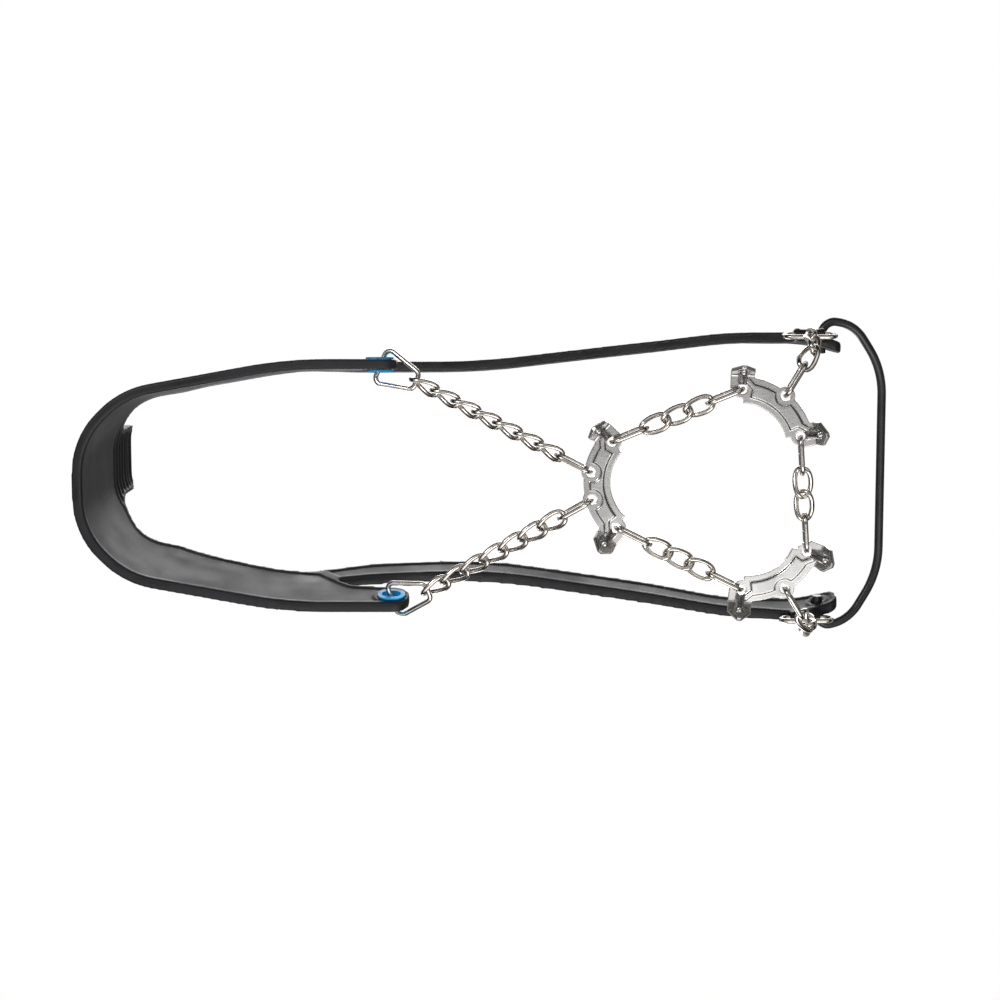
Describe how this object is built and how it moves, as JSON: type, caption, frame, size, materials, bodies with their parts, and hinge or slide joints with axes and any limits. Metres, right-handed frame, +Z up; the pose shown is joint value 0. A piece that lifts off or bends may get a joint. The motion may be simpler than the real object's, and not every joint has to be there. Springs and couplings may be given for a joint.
{
  "type": "footwear traction device",
  "caption": "Slip-on shoe ice cleats: spiked steel plates on twisted-link chains, hung by wire rings from a black elastomer harness with blue eyelets and a toe bail.",
  "frame": {"origin": "under the middle of the whole object, level with the spike tips", "axes": "+X towards the toe, +Y to the wearer's left, +Z up; spikes point down"},
  "size_m": [0.2806, 0.1104, 0.076],
  "materials": {
    "chain_steel": "bright nickel-plated steel wire",
    "plate_steel": "satin stainless sheet",
    "harness_elastomer": "satin moulded elastomer",
    "insert_blue": "satin moulded plastic",
    "bail_coating": "black coated steel wire"
  },
  "bodies": {
    "heel_harness": {"heel_band": "harness_elastomer", "eyelet_insert_right": "insert_blue", "eyelet_insert_left": "insert_blue", "side_band_right": "harness_elastomer", "side_band_left": "harness_elastomer"},
    "forefoot": {"toe_lug_right": "harness_elastomer", "toe_lug_left": "harness_elastomer"},
    "toe_bail": {"toe_bail": "bail_coating"},
    "rear_plate": {"rear_plate": "plate_steel"},
    "front_plate_right": {"front_plate_right": "plate_steel"},
    "front_plate_left": {"front_plate_left": "plate_steel"},
    "rear_right_connector": {"rear_right_connector": "chain_steel"},
    "rear_right_curb_1": {"rear_right_curb_1": "chain_steel"},
    "rear_right_curb_2": {"rear_right_curb_2": "chain_steel"},
    "rear_right_curb_3": {"rear_right_curb_3": "chain_steel"},
    "rear_right_curb_4": {"rear_right_curb_4": "chain_steel"},
    "rear_right_curb_5": {"rear_right_curb_5": "chain_steel"},
    "rear_right_curb_6": {"rear_right_curb_6": "chain_steel"},
    "rear_right_curb_7": {"rear_right_curb_7": "chain_steel"},
    "rear_left_connector": {"rear_left_connector": "chain_steel"},
    "rear_left_curb_1": {"rear_left_curb_1": "chain_steel"},
    "rear_left_curb_2": {"rear_left_curb_2": "chain_steel"},
    "rear_left_curb_3": {"rear_left_curb_3": "chain_steel"},
    "rear_left_curb_4": {"rear_left_curb_4": "chain_steel"},
    "rear_left_curb_5": {"rear_left_curb_5": "chain_steel"},
    "rear_left_curb_6": {"rear_left_curb_6": "chain_steel"},
    "rear_left_curb_7": {"rear_left_curb_7": "chain_steel"},
    "heel_ring_right": {"heel_ring_right": "chain_steel"},
    "heel_ring_left": {"heel_ring_left": "chain_steel"},
    "mid_right_rear_connector": {"mid_right_rear_connector": "chain_steel"},
    "mid_right_curb_1": {"mid_right_curb_1": "chain_steel"},
    "mid_right_curb_2": {"mid_right_curb_2": "chain_steel"},
    "mid_right_curb_3": {"mid_right_curb_3": "chain_steel"},
    "mid_right_front_connector": {"mid_right_front_connector": "chain_steel"},
    "mid_left_rear_connector": {"mid_left_rear_connector": "chain_steel"},
    "mid_left_curb_1": {"mid_left_curb_1": "chain_steel"},
    "mid_left_curb_2": {"mid_left_curb_2": "chain_steel"},
    "mid_left_curb_3": {"mid_left_curb_3": "chain_steel"},
    "mid_left_front_connector": {"mid_left_front_connector": "chain_steel"},
    "front_right_connector": {"front_right_connector": "chain_steel"},
    "front_curb_1": {"front_curb_1": "chain_steel"},
    "front_curb_2": {"front_curb_2": "chain_steel"},
    "front_left_connector": {"front_left_connector": "chain_steel"},
    "toe_right_connector": {"toe_right_connector": "chain_steel"},
    "toe_right_curb_1": {"toe_right_curb_1": "chain_steel"},
    "toe_right_curb_2": {"toe_right_curb_2": "chain_steel"},
    "toe_right_curb_3": {"toe_right_curb_3": "chain_steel"},
    "toe_ring_right": {"toe_ring_right": "chain_steel"},
    "toe_left_connector": {"toe_left_connector": "chain_steel"},
    "toe_left_curb_1": {"toe_left_curb_1": "chain_steel"},
    "toe_left_curb_2": {"toe_left_curb_2": "chain_steel"},
    "toe_left_curb_3": {"toe_left_curb_3": "chain_steel"},
    "toe_ring_left": {"toe_ring_left": "chain_steel"}
  },
  "joints": [
    {"name": "toe_flex", "type": "hinge", "parent": "heel_harness", "child": "forefoot", "pos_m": [0.045, 0, 0.0086], "axis": [0, -1, 0], "range_deg": [0, 20], "deforming": ["side_band_right", "side_band_left"]},
    {"name": "toe_bail_pivot", "type": "hinge", "parent": "forefoot", "child": "toe_bail", "pos_m": [0.117, 0, 0.041], "axis": [0, -1, 0], "range_deg": [0, 60]},
    {"name": "rear_plate_rock", "type": "hinge", "parent": "heel_harness", "child": "rear_plate", "pos_m": [0.03733, -0.00296, 0.0086], "axis": [-0.0558, -0.9984, 0], "range_deg": [-3, 3]},
    {"name": "front_plate_right_tilt", "type": "hinge", "parent": "forefoot", "child": "front_plate_right", "pos_m": [0.09785, -0.02823, 0.0086], "axis": [0.7727, 0.6347, 0], "range_deg": [-3, 3]},
    {"name": "front_plate_left_tilt", "type": "hinge", "parent": "forefoot", "child": "front_plate_left", "pos_m": [0.09946, 0.02633, 0.0086], "axis": [-0.8581, 0.5135, 0], "range_deg": [-3, 3]},
    {"name": "rear_right_connector_roll", "type": "hinge", "parent": "heel_harness", "child": "rear_right_connector", "pos_m": [0.03122, -0.01052, 0.00991], "axis": [-0.8823, -0.4276, 0.1968], "range_deg": [-6, 6]},
    {"name": "rear_right_curb_1_roll", "type": "hinge", "parent": "heel_harness", "child": "rear_right_curb_1", "pos_m": [0.02288, -0.01456, 0.01176], "axis": [-0.8823, -0.4276, 0.1968], "range_deg": [-6, 6]},
    {"name": "rear_right_curb_2_roll", "type": "hinge", "parent": "heel_harness", "child": "rear_right_curb_2", "pos_m": [0.01582, -0.01799, 0.01334], "axis": [-0.8823, -0.4276, 0.1968], "range_deg": [-6, 6]},
    {"name": "rear_right_curb_3_roll", "type": "hinge", "parent": "heel_harness", "child": "rear_right_curb_3", "pos_m": [0.00876, -0.02141, 0.01491], "axis": [-0.8823, -0.4276, 0.1968], "range_deg": [-6, 6]},
    {"name": "rear_right_curb_4_roll", "type": "hinge", "parent": "heel_harness", "child": "rear_right_curb_4", "pos_m": [0.0017, -0.02483, 0.01649], "axis": [-0.8823, -0.4276, 0.1968], "range_deg": [-6, 6]},
    {"name": "rear_right_curb_5_roll", "type": "hinge", "parent": "heel_harness", "child": "rear_right_curb_5", "pos_m": [-0.00535, -0.02825, 0.01806], "axis": [-0.8823, -0.4276, 0.1968], "range_deg": [-6, 6]},
    {"name": "rear_right_curb_6_roll", "type": "hinge", "parent": "heel_harness", "child": "rear_right_curb_6", "pos_m": [-0.01241, -0.03167, 0.01964], "axis": [-0.8823, -0.4276, 0.1968], "range_deg": [-6, 6]},
    {"name": "rear_right_curb_7_roll", "type": "hinge", "parent": "heel_harness", "child": "rear_right_curb_7", "pos_m": [-0.01947, -0.03509, 0.02121], "axis": [-0.8823, -0.4276, 0.1968], "range_deg": [-6, 6]},
    {"name": "rear_left_connector_roll", "type": "hinge", "parent": "heel_harness", "child": "rear_left_connector", "pos_m": [0.03189, 0.00535, 0.00995], "axis": [-0.8314, 0.52, 0.1961], "range_deg": [-6, 6]},
    {"name": "rear_left_curb_1_roll", "type": "hinge", "parent": "heel_harness", "child": "rear_left_curb_1", "pos_m": [0.02403, 0.01026, 0.0118], "axis": [-0.8314, 0.52, 0.1961], "range_deg": [-6, 6]},
    {"name": "rear_left_curb_2_roll", "type": "hinge", "parent": "heel_harness", "child": "rear_left_curb_2", "pos_m": [0.01738, 0.01442, 0.01337], "axis": [-0.8314, 0.52, 0.1961], "range_deg": [-6, 6]},
    {"name": "rear_left_curb_3_roll", "type": "hinge", "parent": "heel_harness", "child": "rear_left_curb_3", "pos_m": [0.01073, 0.01858, 0.01494], "axis": [-0.8314, 0.52, 0.1961], "range_deg": [-6, 6]},
    {"name": "rear_left_curb_4_roll", "type": "hinge", "parent": "heel_harness", "child": "rear_left_curb_4", "pos_m": [0.00408, 0.02274, 0.01651], "axis": [-0.8314, 0.52, 0.1961], "range_deg": [-6, 6]},
    {"name": "rear_left_curb_5_roll", "type": "hinge", "parent": "heel_harness", "child": "rear_left_curb_5", "pos_m": [-0.00257, 0.0269, 0.01808], "axis": [-0.8314, 0.52, 0.1961], "range_deg": [-6, 6]},
    {"name": "rear_left_curb_6_roll", "type": "hinge", "parent": "heel_harness", "child": "rear_left_curb_6", "pos_m": [-0.00922, 0.03106, 0.01965], "axis": [-0.8314, 0.52, 0.1961], "range_deg": [-6, 6]},
    {"name": "rear_left_curb_7_roll", "type": "hinge", "parent": "heel_harness", "child": "rear_left_curb_7", "pos_m": [-0.01588, 0.03522, 0.02122], "axis": [-0.8314, 0.52, 0.1961], "range_deg": [-6, 6]},
    {"name": "heel_ring_right_swing", "type": "hinge", "parent": "heel_harness", "child": "heel_ring_right", "pos_m": [-0.02834, -0.03884, 0.02426], "axis": [-0.8685, -0.332, 0.368], "range_deg": [-5, 5]},
    {"name": "heel_ring_left_swing", "type": "hinge", "parent": "heel_harness", "child": "heel_ring_left", "pos_m": [-0.02463, 0.03911, 0.02426], "axis": [-0.8821, 0.2948, 0.3675], "range_deg": [-5, 5]},
    {"name": "mid_right_rear_connector_roll", "type": "hinge", "parent": "forefoot", "child": "mid_right_rear_connector", "pos_m": [0.04991, -0.02067, 0.0086], "axis": [0.924, -0.3823, 0], "range_deg": [-6, 6]},
    {"name": "mid_right_curb_1_roll", "type": "hinge", "parent": "forefoot", "child": "mid_right_curb_1", "pos_m": [0.05865, -0.02429, 0.0086], "axis": [0.924, -0.3823, 0], "range_deg": [-6, 6]},
    {"name": "mid_right_curb_2_roll", "type": "hinge", "parent": "forefoot", "child": "mid_right_curb_2", "pos_m": [0.06604, -0.02734, 0.0086], "axis": [0.924, -0.3823, 0], "range_deg": [-6, 6]},
    {"name": "mid_right_curb_3_roll", "type": "hinge", "parent": "forefoot", "child": "mid_right_curb_3", "pos_m": [0.07343, -0.0304, 0.0086], "axis": [0.924, -0.3823, 0], "range_deg": [-6, 6]},
    {"name": "mid_right_front_connector_roll", "type": "hinge", "parent": "forefoot", "child": "mid_right_front_connector", "pos_m": [0.08216, -0.03401, 0.0086], "axis": [-0.924, 0.3823, 0], "range_deg": [-6, 6]},
    {"name": "mid_left_rear_connector_roll", "type": "hinge", "parent": "forefoot", "child": "mid_left_rear_connector", "pos_m": [0.05153, 0.01439, 0.0086], "axis": [0.8934, 0.4493, 0], "range_deg": [-6, 6]},
    {"name": "mid_left_curb_1_roll", "type": "hinge", "parent": "forefoot", "child": "mid_left_curb_1", "pos_m": [0.05998, 0.01864, 0.0086], "axis": [0.8934, 0.4493, 0], "range_deg": [-6, 6]},
    {"name": "mid_left_curb_2_roll", "type": "hinge", "parent": "forefoot", "child": "mid_left_curb_2", "pos_m": [0.06713, 0.02223, 0.0086], "axis": [0.8934, 0.4493, 0], "range_deg": [-6, 6]},
    {"name": "mid_left_curb_3_roll", "type": "hinge", "parent": "forefoot", "child": "mid_left_curb_3", "pos_m": [0.07427, 0.02583, 0.0086], "axis": [0.8934, 0.4493, 0], "range_deg": [-6, 6]},
    {"name": "mid_left_front_connector_roll", "type": "hinge", "parent": "forefoot", "child": "mid_left_front_connector", "pos_m": [0.08271, 0.03007, 0.0086], "axis": [-0.8934, -0.4493, 0], "range_deg": [-6, 6]},
    {"name": "front_right_connector_roll", "type": "hinge", "parent": "forefoot", "child": "front_right_connector", "pos_m": [0.10824, -0.01359, 0.0086], "axis": [0.0678, 0.9977, 0], "range_deg": [-6, 6]},
    {"name": "front_curb_1_roll", "type": "hinge", "parent": "forefoot", "child": "front_curb_1", "pos_m": [0.10888, -0.00416, 0.0086], "axis": [0.0678, 0.9977, 0], "range_deg": [-6, 6]},
    {"name": "front_curb_2_roll", "type": "hinge", "parent": "forefoot", "child": "front_curb_2", "pos_m": [0.10942, 0.00382, 0.0086], "axis": [0.0678, 0.9977, 0], "range_deg": [-6, 6]},
    {"name": "front_left_connector_roll", "type": "hinge", "parent": "forefoot", "child": "front_left_connector", "pos_m": [0.11006, 0.01325, 0.0086], "axis": [-0.0678, -0.9977, 0], "range_deg": [-6, 6]},
    {"name": "toe_right_connector_roll", "type": "hinge", "parent": "forefoot", "child": "toe_right_connector", "pos_m": [0.10596, -0.03929, 0.00994], "axis": [0.5256, -0.825, 0.2079], "range_deg": [-3, 3]},
    {"name": "toe_right_curb_1_roll", "type": "hinge", "parent": "forefoot", "child": "toe_right_curb_1", "pos_m": [0.11041, -0.04623, 0.01352], "axis": [0.4172, -0.6425, 0.6428], "range_deg": [-3, 3]},
    {"name": "toe_right_curb_2_roll", "type": "hinge", "parent": "forefoot", "child": "toe_right_curb_2", "pos_m": [0.11222, -0.04995, 0.01953], "axis": [0.0594, -0.3368, 0.9397], "range_deg": [-3, 3]},
    {"name": "toe_right_curb_3_roll", "type": "hinge", "parent": "forefoot", "child": "toe_right_curb_3", "pos_m": [0.11245, -0.05083, 0.02688], "axis": [0, 0.1045, 0.9945], "range_deg": [-3, 3]},
    {"name": "toe_ring_right_swing", "type": "hinge", "parent": "forefoot", "child": "toe_ring_right", "pos_m": [0.11245, -0.05043, 0.03511], "axis": [1, 0, 0], "range_deg": [-2, 2]},
    {"name": "toe_left_connector_roll", "type": "hinge", "parent": "forefoot", "child": "toe_left_connector", "pos_m": [0.10648, 0.03814, 0.00994], "axis": [0.4964, 0.8428, 0.2079], "range_deg": [-3, 3]},
    {"name": "toe_left_curb_1_roll", "type": "hinge", "parent": "forefoot", "child": "toe_left_curb_1", "pos_m": [0.11072, 0.04521, 0.01352], "axis": [0.4059, 0.6496, 0.6428], "range_deg": [-3, 3]},
    {"name": "toe_left_curb_2_roll", "type": "hinge", "parent": "forefoot", "child": "toe_left_curb_2", "pos_m": [0.11249, 0.04895, 0.01953], "axis": [0.0594, 0.3368, 0.9397], "range_deg": [-3, 3]},
    {"name": "toe_left_curb_3_roll", "type": "hinge", "parent": "forefoot", "child": "toe_left_curb_3", "pos_m": [0.11272, 0.04984, 0.02688], "axis": [0, -0.1045, 0.9945], "range_deg": [-3, 3]},
    {"name": "toe_ring_left_swing", "type": "hinge", "parent": "forefoot", "child": "toe_ring_left", "pos_m": [0.11272, 0.04944, 0.03511], "axis": [1, 0, 0], "range_deg": [-2, 2]}
  ],
  "couplings": [
    {"joint": "rear_right_curb_1_roll", "follows": "rear_right_connector_roll", "ratio": 1},
    {"joint": "rear_right_curb_2_roll", "follows": "rear_right_connector_roll", "ratio": 1},
    {"joint": "rear_right_curb_3_roll", "follows": "rear_right_connector_roll", "ratio": 1},
    {"joint": "rear_right_curb_4_roll", "follows": "rear_right_connector_roll", "ratio": 1},
    {"joint": "rear_right_curb_5_roll", "follows": "rear_right_connector_roll", "ratio": 1},
    {"joint": "rear_right_curb_6_roll", "follows": "rear_right_connector_roll", "ratio": 1},
    {"joint": "rear_right_curb_7_roll", "follows": "rear_right_connector_roll", "ratio": 1},
    {"joint": "rear_left_curb_1_roll", "follows": "rear_left_connector_roll", "ratio": 1},
    {"joint": "rear_left_curb_2_roll", "follows": "rear_left_connector_roll", "ratio": 1},
    {"joint": "rear_left_curb_3_roll", "follows": "rear_left_connector_roll", "ratio": 1},
    {"joint": "rear_left_curb_4_roll", "follows": "rear_left_connector_roll", "ratio": 1},
    {"joint": "rear_left_curb_5_roll", "follows": "rear_left_connector_roll", "ratio": 1},
    {"joint": "rear_left_curb_6_roll", "follows": "rear_left_connector_roll", "ratio": 1},
    {"joint": "rear_left_curb_7_roll", "follows": "rear_left_connector_roll", "ratio": 1},
    {"joint": "mid_right_curb_1_roll", "follows": "mid_right_rear_connector_roll", "ratio": 1},
    {"joint": "mid_right_curb_2_roll", "follows": "mid_right_rear_connector_roll", "ratio": 1},
    {"joint": "mid_right_curb_3_roll", "follows": "mid_right_rear_connector_roll", "ratio": 1},
    {"joint": "mid_right_front_connector_roll", "follows": "mid_right_rear_connector_roll", "ratio": -1},
    {"joint": "mid_left_curb_1_roll", "follows": "mid_left_rear_connector_roll", "ratio": 1},
    {"joint": "mid_left_curb_2_roll", "follows": "mid_left_rear_connector_roll", "ratio": 1},
    {"joint": "mid_left_curb_3_roll", "follows": "mid_left_rear_connector_roll", "ratio": 1},
    {"joint": "mid_left_front_connector_roll", "follows": "mid_left_rear_connector_roll", "ratio": -1},
    {"joint": "front_curb_1_roll", "follows": "front_right_connector_roll", "ratio": 1},
    {"joint": "front_curb_2_roll", "follows": "front_right_connector_roll", "ratio": 1},
    {"joint": "front_left_connector_roll", "follows": "front_right_connector_roll", "ratio": -1},
    {"joint": "toe_right_curb_1_roll", "follows": "toe_right_connector_roll", "ratio": 1},
    {"joint": "toe_right_curb_2_roll", "follows": "toe_right_connector_roll", "ratio": 1},
    {"joint": "toe_right_curb_3_roll", "follows": "toe_right_connector_roll", "ratio": 1},
    {"joint": "toe_left_curb_1_roll", "follows": "toe_left_connector_roll", "ratio": 1},
    {"joint": "toe_left_curb_2_roll", "follows": "toe_left_connector_roll", "ratio": 1},
    {"joint": "toe_left_curb_3_roll", "follows": "toe_left_connector_roll", "ratio": 1}
  ]
}
